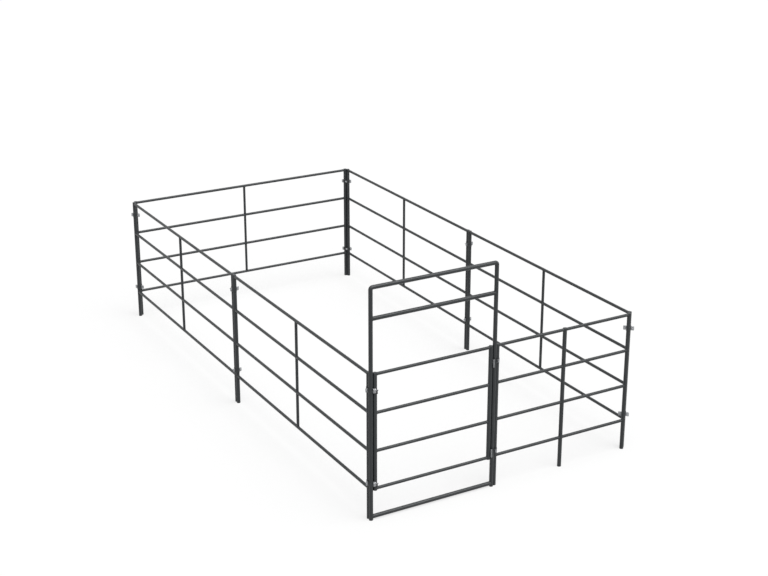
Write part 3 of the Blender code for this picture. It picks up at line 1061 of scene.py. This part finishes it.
@dataclass
class ClampHalf:
    """The half of a clamp on +X: a bent strap, with its plates, washers and bolts or nuts.

    It holds the distance between the two posts, how +Y and -Y close, whether this is the
    half with the bolts and the hooks, and not the nuts, and the turn of the clamp.
    """

    pair: float
    ears: tuple[Ear, Ear]
    bolts: bool
    base: Matrix
    height: float = 0.044
    strap: float = 0.0025
    strap_edge: float = 0.0004
    slack: float = 0.0003
    split: float = 0.002
    lip: float = 0.003
    hook_gap: float = 0.0004
    hook_bend: float = 0.0015
    bend: float = 0.0032
    bend_steps: int = 6
    wrap_steps: int = 28
    ear_corner: float = 0.006
    bolt_d: float = 0.0095
    flats: float = 0.0143
    head: float = 0.0064
    nut: float = 0.008
    nut_slack: float = 0.0001
    washer: float = 0.0015
    washer_radius: float = 0.0098
    washer_edge: float = 0.0002
    washer_slack: float = 0.0003
    washer_sides: int = 32
    wide_washer: float = 0.0125
    screw_reach: float = 0.006
    plate: float = 0.0012
    plate_edge: float = 0.0003
    plate_margin: float = 0.0014
    plate_corner: float = 0.0045

    def _sheet(self) -> Pair:
        """Return how far the middle of the sheet lies from the split, and from the line of posts."""
        return (self.split + self.strap) / 2, STOCK.post_radius + self.slack + self.strap / 2

    def _ear(self, ear: Ear) -> tuple[float, float, float, float]:
        """Measure one ear from the middle of the clamp.

        Args:
            ear: how the side closes.

        Returns:
            The ear's root, its tip, the place of its bolt, and how far the bolt passes its nut.
        """
        size = EARS[ear]
        inner = STOCK.post_radius + self.slack + (self.pair / 2 if ear is Ear.LONG else 0)
        root = inner + self.strap
        return root, inner + size.reach, root + size.inset, size.proud

    def _closing(self, ear: Ear) -> list[Triple]:
        """List the corners of one side, from the free end to the strap.

        Args:
            ear: how the side closes.

        Returns:
            x, y and bend radius of each corner.
        """
        x, y = self._sheet()
        if ear is not Ear.HOOK:
            return [(x, self._ear(ear)[1], 0), (x, y, self.bend)]
        outside = y + self.strap / 2
        root = (x, y, self.hook_bend)
        if not self.bolts:
            return [(x, outside + self.lip, 0), root]
        over = outside + self.lip + self.hook_gap + self.strap / 2
        catch = -x - self.strap - self.hook_gap
        return [(catch, outside + self.hook_gap, 0), (catch, over, self.hook_bend),
                (x, over, self.hook_bend), root]

    def _crossing_path(self) -> Points:
        """List the middle line of a strap that wraps the post on +X.

        Returns:
            The line's points.
        """
        half = self.pair / 2
        radius = self._sheet()[1]
        corners = [[*self._closing(ear), (half, radius, 0)] for ear in self.ears]
        upper, lower = (rounded_path(line, self.bend_steps) for line in corners)
        wrap = arc(Vector((half, 0, 0)), radius, QUARTER, -QUARTER, self.wrap_steps)
        return upper + wrap[1:-1] + mirrored(lower)

    def _long_path(self) -> Points:
        """List the middle line of a strap that spans two posts standing along Y.

        Returns:
            The line's points.
        """
        half, bend = self.pair / 2, self.bend
        x, radius = self._sheet()
        rise = math.sqrt((radius + bend) ** 2 - (x + bend) ** 2)
        meet = math.atan2(rise, x + bend)
        path = [Vector((x, self._ear(Ear.LONG)[1], 0))]
        path += arc(Vector((x + bend, half + rise, 0)), bend, math.pi, math.pi + meet, self.bend_steps)
        path += arc(Vector((0, half, 0)), radius, meet, 0, self.wrap_steps // 2)[1:]
        return path + mirrored(path)

    def _round_tip(self, path: Points, heights: list[float]) -> tuple[Points, list[float]]:
        """Round the corners of the ear that a strap starts with.

        Args:
            path: the strap's middle line.
            heights: half of the strap's height at each point.

        Returns:
            The line and the heights with the points of the rounding.
        """
        aim = (path[1] - path[0]).normalized() * self.ear_corner
        turns = [QUARTER * i / self.bend_steps for i in range(self.bend_steps + 1)]
        points = [path[0] + aim * (1 - math.cos(a)) for a in turns]
        lower = [heights[0] - self.ear_corner * (1 - math.sin(a)) for a in turns]
        return points + path[1:], lower + heights[1:]

    def bent_strap(self) -> Shape:
        """Bend the strap, whose ears are plated and whose hooks are coated like the rest.

        Returns:
            Its shape.
        """
        path = self._long_path() if Ear.LONG in self.ears else self._crossing_path()
        heights = [self.height / 2] * len(path)
        for ear in self.ears:
            if ear is not Ear.HOOK:
                path, heights = self._round_tip(path, heights)
            path, heights = path[::-1], heights[::-1]
        left, right = (math.inf if ear is Ear.HOOK else self._ear(ear)[0] for ear in self.ears)
        middles = [(a.y + b.y) / 2 for a, b in zip(path, path[1:])]
        paints = [int(y > left or -y > right) for y in middles]
        shape = Shape()
        shape.at = self.base
        shape.strip(path, heights, self.strap, self.strap_edge, paints)
        return shape

    def _plate(self, shape: Shape, root: float, tip: float, side: int) -> None:
        """Lay the bearing plate on one plated ear, with round corners.

        Args:
            shape: what it is added to.
            root: where the ear leaves the strap.
            tip: where it ends.
            side: 1 for +Y and -1 for -Y.
        """
        inner, outer = root + self.bend, tip - self.plate_margin
        middle, wide = (inner + outer) / 2, (outer - inner) / 2
        tall = self.height / 2 - self.plate_margin
        outline = rounded_box(wide, tall, self.plate_corner, self.bend_steps)

        def level(x: float, inset: float) -> Points:
            """Make the outline at one depth, drawn in by an inset."""
            across, up = 1 - inset / wide, 1 - inset / tall
            return [Vector((x, side * (middle + p.x * across), p.y * up)) for p in outline]

        base = self.split / 2 + self.strap
        top = base + self.plate
        shape.skin([level(base, 0), level(top - self.plate_edge, 0), level(top, self.plate_edge)])

    def _washer(self, shape: Shape, outer: float) -> None:
        """Lay a washer on z = 0, and move the shape's place to the top of it.

        Args:
            shape: what it is added to.
            outer: the washer's outer radius.
        """
        hole, edge, top = self.bolt_d / 2 + self.washer_slack, self.washer_edge, self.washer
        shape.lathe([(hole, 0), (outer - edge, 0), (outer, edge), (outer, top - edge), (outer - edge, top),
                     (hole, top)], self.washer_sides, closed=True)
        shape.at = shape.at @ shift(0, 0, top)

    def _bolt(self, shape: Shape, reach: float) -> None:
        """Set a hex head on z = 0 with its thread below it.

        Args:
            shape: what it is added to.
            reach: how far the thread goes down.
        """
        shape.hexagon(self.flats, self.head - self.washer)
        shape.at = shape.at @ turn(math.pi, "X")
        shape.thread(self.bolt_d / 2, reach)

    def hardware(self) -> Shape:
        """Make the plates, the washers and the bolts or nuts.

        A long half with bolts also has a set screw, which bites into the groove between
        the two posts.

        Returns:
            Their shape.
        """
        shape = Shape()
        out = turn(QUARTER, "Y")
        for ear, side in zip(self.ears, (1, -1)):
            if ear is Ear.HOOK:
                continue
            root, tip, bolt_y, proud = self._ear(ear)
            shape.at = self.base
            rest = self.split / 2 + self.strap
            if ear in (Ear.WIDE, Ear.LONG):
                self._plate(shape, root, tip, side)
                rest += self.plate
            shape.at = self.base @ shift(rest, side * bolt_y, 0) @ out
            self._washer(shape, min(self.washer_radius, bolt_y - root, tip - bolt_y - self.washer_edge))
            if self.bolts:
                self._bolt(shape, rest + self.washer + self.split / 2 + self.strap + self.nut + proud)
            else:
                shape.hexagon(self.flats, self.nut - self.washer, self.bolt_d / 2 + self.nut_slack)
        if self.bolts and Ear.LONG in self.ears:
            shape.at = self.base @ shift(STOCK.post_radius + self.slack + self.strap, 0, 0) @ out
            self._washer(shape, self.wide_washer)
            self._bolt(shape, self.washer + self.strap + self.screw_reach)
        return shape


@dataclass
class PostClamp:
    """A two-piece clamp round two neighbouring posts, high and low.

    Its own X runs from the first post to the second, and its own Y to the left ear. A
    clamp with long ears is turned by a quarter, so that each half spans both posts.
    """

    name: str
    posts: tuple[PostEnd, PostEnd]
    left: Ear
    right: Ear

    def dress(self, shared: dict[tuple, MeshPair]) -> None:
        """Build both halves at both levels, or share meshes with a clamp of the same kind.

        Args:
            shared: the meshes so far, by kind.
        """
        first, second = (post_centres(node)[end] for node, end in self.posts)
        run = Vector((second.x - first.x, second.y - first.y))
        middle = (first + second) / 2
        angle = math.atan2(run.y, run.x) - (QUARTER if self.left is Ear.LONG else 0)
        for part, ears, bolts, back in (("nut_half", (self.left, self.right), False, 0),
                                        ("bolt_half", (self.right, self.left), True, math.pi)):
            key = (part, ears, round(run.length, 5), round(angle, 4))
            if key not in shared:
                half = ClampHalf(run.length, ears, bolts, turn(angle + back, "Z"))
                shared[key] = (half.bent_strap().mesh(f"{self.name}_{part}_strap", (COAT, ZINC)),
                               half.hardware().mesh(f"{self.name}_{part}_hardware", (ZINC,)))
            strap, hardware = shared[key]
            for level in ("upper", "lower"):
                node = f"clamp_{self.name}_{level}_{part}"
                low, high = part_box(node)
                place = shift(middle.x, middle.y, (low.z + high.z) / 2)
                fit(strap, f"{node}_strap", node, Slot.CLAMP, place)
                fit(hardware, f"{node}_hardware", node, Slot.ZINC, place)


@dataclass
class BarrelHinge:
    """One gate hinge: a barrel on the frame, one on the gate, and the pin that drops through both."""

    level: str
    parts: tuple[str, ...] = ("frame_knuckle", "gate_knuckle", "pin")
    sides: int = 40
    barrel: float = 0.0097
    bore: float = 0.0053
    chamfer: float = 0.0009
    tab: float = 0.008
    tab_edge: float = 0.0006
    tab_overlap: float = 0.001
    tab_bite: float = 0.0006
    clamp_gap: float = 0.0008
    bead_radius: float = 0.0016
    bead_step: float = 0.0012
    bead_lean: Pair = (0.6, 0.8)
    pin: float = 0.005
    pin_edge: float = 0.0008
    head: float = 0.008
    head_height: float = 0.004
    head_crown: tuple[Pair, ...] = ((1.0, 0.002), (0.88, 0.0032), (0.6, 0.0038))

    def _knuckle(self, node: str, post: Vector, axis: Vector, tab_low: float, tab_high: float) -> None:
        """Build one barrel with the tab that is welded to its post.

        Args:
            node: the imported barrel.
            post: the centre of the post.
            axis: the centre of the hinge.
            tab_low: the height of the tab's lower edge.
            tab_high: the height of its upper edge.
        """
        low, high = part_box(node)
        run = Vector((post.x - axis.x, post.y - axis.y))
        facing = shift(axis.x, axis.y, 0) @ turn(math.atan2(run.y, run.x), "Z")
        edge, mouth = self.chamfer, self.chamfer / 2
        shape = Shape()
        shape.at = shift(axis.x, axis.y, 0)
        shape.lathe([(self.bore, low.z + mouth), (self.bore + mouth, low.z), (self.barrel - edge, low.z),
                     (self.barrel, low.z + edge), (self.barrel, high.z - edge), (self.barrel - edge, high.z),
                     (self.bore + mouth, high.z), (self.bore, high.z - mouth)], self.sides, closed=True)
        shape.at = facing
        ends = (self.barrel - self.tab_overlap, run.length - STOCK.post_radius + self.tab_bite)
        section = chamfered(self.tab / 2, tab_low, tab_high, self.tab_edge)
        shape.skin([[Vector((x, y, z)) for y, z in section] for x in ends])
        # The barrel and its tab take the zinc plate darkened as painted shade.
        fit_shape(shape, "barrel", node, SHADED_ZINC, Slot.ZINC)
        weld = Shape()
        weld.at = facing
        half = self.tab / 2
        along, across = self.bead_lean
        steps = round((tab_high - tab_low) / self.bead_step)
        for side in (1, -1):
            for x, out in ((run.length - math.sqrt(STOCK.post_radius ** 2 - half ** 2), -along),
                           (math.sqrt(self.barrel ** 2 - half ** 2), along)):
                foot = Vector((x, side * half, tab_low))
                weld.upright_bead(foot, tab_high, Vector((out, side * across, 0)), self.bead_radius, steps)
        fit_shape(weld, "welds", node, WELD, Slot.COAT)

    def _pin(self, node: str, axis: Vector) -> None:
        """Build the drop-in pin.

        Args:
            node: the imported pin.
            axis: the centre of the hinge.
        """
        low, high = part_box(node)
        top, edge = high.z - self.head_height, self.pin_edge
        shape = Shape()
        shape.at = shift(axis.x, axis.y, 0)
        shape.lathe([(0.0, low.z), (self.pin - edge, low.z), (self.pin, low.z + edge), (self.pin, top),
                     (self.head - edge / 2, top), (self.head, top + edge / 2),
                     *((self.head * share, top + rise) for share, rise in self.head_crown),
                     (0.0, high.z)], self.sides)
        fit_shape(shape, "steel", node, BLACK, Slot.PIN)

    def dress(self) -> None:
        """Build both barrels, their tabs and the pin."""
        fixed, swinging, pin = (f"hinge_{self.level}_{part}" for part in self.parts)
        low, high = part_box(pin)
        axis = (low + high) / 2
        under_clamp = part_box(f"clamp_gate_right_{self.level}_bolt_half")[0].z - self.clamp_gap
        for node, post, top in ((fixed, "bow_frame", under_clamp), (swinging, "gate_frame", math.inf)):
            low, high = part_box(node)
            self._knuckle(node, post_centres(post)[1], axis, low.z, min(top, high.z))
        self._pin(pin, axis)


@dataclass
class BoredLug:
    """A lug with a round bore along X, whose back is cut to the round that it sits on.

    It holds its box, a point on the bore's axis, the centre of its post, and the radius
    of what it sits on.
    """

    low: Vector
    high: Vector
    axis: Vector
    post: Vector
    seat: float
    bore: float = 0.0063
    corner: float = 0.009
    rim: float = 0.0006
    bite: float = 0.0002
    rays: int = 64
    slices: int = 4
    bead_radius: float = 0.0014
    bead_step: float = 0.0012
    bead_margin: float = 0.001
    bead_lean: float = 0.7

    def _half(self) -> float:
        """Return half of the lug's height."""
        return (self.high.z - self.low.z) / 2

    def _back(self, x: float) -> float:
        """Return the y of the seat at x."""
        return self.post.y - math.sqrt(max(self.seat ** 2 - (x - self.post.x) ** 2, 0)) + self.bite

    def _reach(self, angle: float, behind: float, inset: float) -> float:
        """Measure the outline from the bore's axis.

        Args:
            angle: the direction, from straight back.
            behind: how far back the seat lies.
            inset: how much the outline is drawn in, apart from its back.

        Returns:
            The distance.
        """
        along, across = math.cos(angle), math.sin(angle)
        ahead, tall, corner = self.axis.y - self.low.y - inset, self._half() - inset, self.corner - inset
        far = min((behind if along > 0 else ahead) / max(abs(along), TINY), tall / max(abs(across), TINY))
        if far * along < corner - ahead and far * abs(across) > tall - corner:
            middle_y, middle_z = corner - ahead, math.copysign(tall - corner, across)
            near = along * middle_y + across * middle_z
            far = near + math.sqrt(near ** 2 - middle_y ** 2 - middle_z ** 2 + corner ** 2)
        return far

    def _angles(self, x: float) -> list[float]:
        """List the directions of the points at x: even rays, with one moved to each rear corner.

        Args:
            x: the place along the bore.

        Returns:
            The angles from straight back.
        """
        turns = even_turns(self.rays)
        middle = (self.low.x + self.high.x) / 2
        rear, mean = (math.atan2(self._half(), self._back(at) - self.axis.y) for at in (x, middle))
        index = round(mean / math.tau * self.rays)
        turns[index], turns[-index] = rear, math.tau - rear
        return turns

    def _ring(self, x: float, radius: float | None = None, inset: float = 0.0) -> Points:
        """Make the ring at x.

        Args:
            x: the place along the bore.
            radius: the radius of a circle, or None for the outline.
            inset: how much the outline is drawn in.

        Returns:
            The ring's points.
        """
        behind = self._back(x) - self.axis.y
        centre = Vector((x, self.axis.y, self.axis.z))
        return [centre + Vector((0, math.cos(a), math.sin(a))) * (radius or self._reach(a, behind, inset))
                for a in self._angles(x)]

    def solid(self) -> Shape:
        """Make the lug, with chamfered rims at both ends.

        Returns:
            Its shape.
        """
        first, *middle, last = (self.low.x + (self.high.x - self.low.x) * i / self.slices
                                for i in range(self.slices + 1))
        rim, mouth = self.rim, self.bore + self.rim
        outer = [self._ring(x) for x in (first + rim, *middle, last - rim)]
        inner = [self._ring(x, self.bore) for x in (last - rim, first + rim)]
        shape = Shape()
        shape.skin([self._ring(first, mouth), self._ring(first, inset=rim), *outer,
                    self._ring(last, inset=rim), self._ring(last, mouth), *inner], closed=True)
        return shape

    def weld(self) -> Shape:
        """Make the two beads between the lug and its seat.

        Returns:
            Their shape.
        """
        shape = Shape()
        steps = round(self._half() * 2 / self.bead_step)
        for x, lean in ((self.low.x, -self.bead_lean), (self.high.x, self.bead_lean)):
            foot = Vector((x, self._back(x), self.low.z + self.bead_margin))
            out = Vector((lean, -self.bead_lean, 0))
            shape.upright_bead(foot, self.high.z - self.bead_margin, out, self.bead_radius, steps)
        return shape


@dataclass
class SlideLatch:
    """One latch: the keeper on the frame, the guide on the gate, and the bolt with its knob."""

    level: str
    rod: float = 0.006
    rod_sides: int = 40
    nose: tuple[Pair, ...] = ((0.002, 0.0), (0.0007, 0.001), (0.0, 0.003))
    heel: float = 0.001
    shank: float = 0.004
    shank_sides: int = 32
    knob: float = 0.0065
    knob_steps: int = 16

    def _lug(self, node: str, post: Vector, seat: float, axis: Vector) -> None:
        """Build the keeper or the guide.

        Args:
            node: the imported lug.
            post: the centre of the post that carries it.
            seat: the radius of what it sits on.
            axis: a point on the bolt's axis.
        """
        lug = BoredLug(*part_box(node), axis, post, seat)
        fit_shape(lug.solid(), "lug", node, ZINC, Slot.ZINC)
        fit_shape(lug.weld(), "welds", node, WELD, Slot.COAT)

    def _bolt(self, node: str) -> Vector:
        """Build the sliding bolt with its hanging handle.

        Args:
            node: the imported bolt.

        Returns:
            A point on its axis.
        """
        low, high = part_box(node)
        packed_half = self.rod * math.cos(math.pi / STOCK.packed_sides)
        axis = Vector((low.x, (low.y + high.y) / 2, high.z - packed_half))
        long = high.x - low.x
        shape = Shape()
        shape.at = Matrix.Translation(axis) @ turn(QUARTER, "Y")
        nose = [(self.rod - inset, z) for inset, z in self.nose]
        heel = [(self.rod, long - self.heel), (self.rod - self.heel, long)]
        shape.lathe([(0.0, 0.0), *nose, *heel, (0.0, long)], self.rod_sides)
        drop = axis.z - low.z - self.knob
        shape.at = shift(high.x - 2 * self.shank, axis.y, axis.z) @ turn(math.pi, "X")
        neck = math.asin(self.shank / self.knob)
        angles = [neck + (math.pi - neck) * i / self.knob_steps for i in range(self.knob_steps)]
        ball = [(self.knob * math.sin(a), drop - self.knob * math.cos(a)) for a in angles]
        shape.lathe([(0.0, 0.0), (self.shank, 0.0), *ball, (0.0, drop + self.knob)], self.shank_sides)
        fit_shape(shape, "steel", node, BLACK, Slot.PIN)
        return axis

    def dress(self) -> None:
        """Build the bolt, the keeper and the guide."""
        axis = self._bolt(f"latch_{self.level}_bolt")
        strap_outside = STOCK.post_radius + ClampHalf.slack + ClampHalf.strap
        self._lug(f"latch_{self.level}_keeper", post_centres("bow_frame")[0], strap_outside, axis)
        self._lug(f"latch_{self.level}_guide", post_centres("gate_frame")[0], STOCK.post_radius, axis)


@dataclass
class Studio:
    """The floor, the soft light, the white surroundings and the camera."""

    eye: Vector
    tilt: float = 70.560
    heading: float = -29.665
    focal_px: float = 1487.73
    image: tuple[int, int] = (768, 576)
    centre_px: Pair = (381.04, 256.24)
    sensor: float = 36.0
    floor_half: float = 150.0
    floor_colour: Colour = (0.5, 0.5, 0.5)
    floor_roughness: float = 0.9
    floor_gloss: float = 0.1
    shown_white: float = 0.62
    glow: float = 1.14
    ambient: float = 0.26
    key: float = 4.6
    key_spread: float = 70.0
    key_turn: Triple = (24.0, 0.0, 12.0)

    def _seen(self, tree: Tree) -> Socket:
        """Find the rays that have to see white.

        Args:
            tree: the nodes of the floor or the surroundings.

        Returns:
            1 for rays from the camera, from gloss and through glass, and 0 for the others.
        """
        path = add_node(tree, "ShaderNodeLightPath", {})
        total = path.outputs["Is Camera Ray"]
        for name in ("Is Glossy Ray", "Is Transmission Ray"):
            either = add_node(tree, "ShaderNodeMath", {0: total, 1: path.outputs[name]}, operation="MAXIMUM")
            total = either.outputs["Value"]
        return total

    def _floor_material(self) -> bpy.types.Material:
        """Make a pale finish that looks white and keeps the object's shadow.

        Returns:
            The floor's material.
        """
        graph = ShaderGraph("studio_floor")
        graph.shader.inputs["Base Color"].default_value = (*self.floor_colour, 1)
        graph.fix(Roughness=self.floor_roughness, Specular_IOR_Level=self.floor_gloss)
        tree = graph.tree
        glow = add_node(tree, "ShaderNodeEmission", {"Strength": self.glow}).outputs["Emission"]
        factors = {0: self._seen(tree), 1: self.shown_white}
        share = add_node(tree, "ShaderNodeMath", factors, operation="MULTIPLY").outputs["Value"]
        inputs = {"Fac": share, 1: graph.shader.outputs["BSDF"], 2: glow}
        blend = add_node(tree, "ShaderNodeMixShader", inputs)
        tree.links.new(blend.outputs["Shader"], tree.nodes["Material Output"].inputs["Surface"])
        return graph.material

    def build_floor(self) -> None:
        """Lay the floor."""
        far = self.floor_half
        corners = [(-far, -far, 0), (far, -far, 0), (far, far, 0), (-far, far, 0)]
        mesh = bpy.data.meshes.new("studio_floor")
        mesh.from_pydata(corners, [], [range(len(corners))])
        mesh.materials.append(self._floor_material())
        add_object("studio_floor", mesh)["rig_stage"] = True

    def build_light(self) -> None:
        """Set the soft overhead light and the even surroundings."""
        lamp = bpy.data.lights.new("overhead_light", "SUN")
        lamp.energy = self.key
        lamp.angle = math.radians(self.key_spread)
        add_object("overhead_light", lamp).rotation_euler = [math.radians(a) for a in self.key_turn]
        world = bpy.data.worlds.new("studio_surroundings")
        bpy.context.scene.world = world
        world.use_nodes = True
        tree = world.node_tree
        background = tree.nodes["Background"]
        background.inputs["Color"].default_value = (1, 1, 1, 1)
        inputs = {"Value": self._seen(tree), "To Min": self.ambient, "To Max": 1.0}
        level = add_node(tree, "ShaderNodeMapRange", inputs)
        tree.links.new(level.outputs["Result"], background.inputs["Strength"])

    def build_camera(self) -> None:
        """Stand the camera where the photograph was taken from."""
        data = bpy.data.cameras.new("photo_camera")
        width, height = self.image
        data.sensor_width = self.sensor
        data.lens = self.focal_px / width * self.sensor
        data.shift_x = (width / 2 - self.centre_px[0]) / width
        data.shift_y = (self.centre_px[1] - height / 2) / width
        camera = add_object("photo_camera", data)
        camera.location = self.eye
        camera.rotation_euler = (math.radians(self.tilt), 0, math.radians(self.heading))
        bpy.context.scene.camera = camera

    def build(self) -> None:
        """Build all of the studio."""
        self.build_floor()
        self.build_light()
        self.build_camera()
        bpy.context.scene.view_settings.view_transform = "Standard"
        log.info("built the studio")


def clamps() -> list[PostClamp]:
    """List the clamps.

    Returns:
        Each clamp with its two posts, by frame and end, and the way its two sides close.
    """
    return [
        PostClamp("rear_left", (("panel_left_2", 1), ("panel_rear", 0)), Ear.WIDE, Ear.WIDE),
        PostClamp("rear_right", (("panel_right_2", 1), ("panel_rear", 1)), Ear.LONG, Ear.LONG),
        PostClamp("front_corner", (("panel_front", 1), ("panel_right_1", 0)), Ear.WIDE, Ear.WIDE),
        PostClamp("gate_left", (("bow_frame", 0), ("panel_left_1", 0)), Ear.SHORT, Ear.HOOK),
        PostClamp("gate_right", (("bow_frame", 1), ("panel_front", 0)), Ear.WIDE, Ear.SHORT),
        PostClamp("left_1", (("panel_left_1", 1), ("panel_left_2", 0)), Ear.SLIM, Ear.WIDE),
        PostClamp("right_1", (("panel_right_1", 1), ("panel_right_2", 0)), Ear.SLIM, Ear.WIDE),
    ]


def main() -> None:
    """Build the studio and every piece of the stall."""
    logging.basicConfig(level=logging.INFO, format="%(message)s")
    eye_from_gate_post = Vector((-6.1288, -10.9536, 7.0975))
    gate_post = post_centres("bow_frame")[0]
    Studio(Vector((gate_post.x, gate_post.y, 0)) + eye_from_gate_post).build()
    panel_meshes: dict[tuple, MeshPair] = {}
    for name in ("left_1", "left_2", "rear", "right_1", "right_2"):
        RailPanel(f"panel_{name}", Middle.STAY).dress(panel_meshes)
    RailPanel("panel_front", Middle.LEG).dress(panel_meshes)
    RailPanel("gate_frame", Middle.OPEN).dress(panel_meshes)
    BowFrame().dress()
    clamp_meshes: dict[tuple, MeshPair] = {}
    for clamp in clamps():
        clamp.dress(clamp_meshes)
    for level in ("upper", "lower"):
        BarrelHinge(level).dress()
        SlideLatch(level).dress()
    boxes = {"cad": CAD_BOX, "visual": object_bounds()}
    {name: [list(corner) for corner in box] for name, box in boxes.items()}


if __name__ == "__main__":
    main()
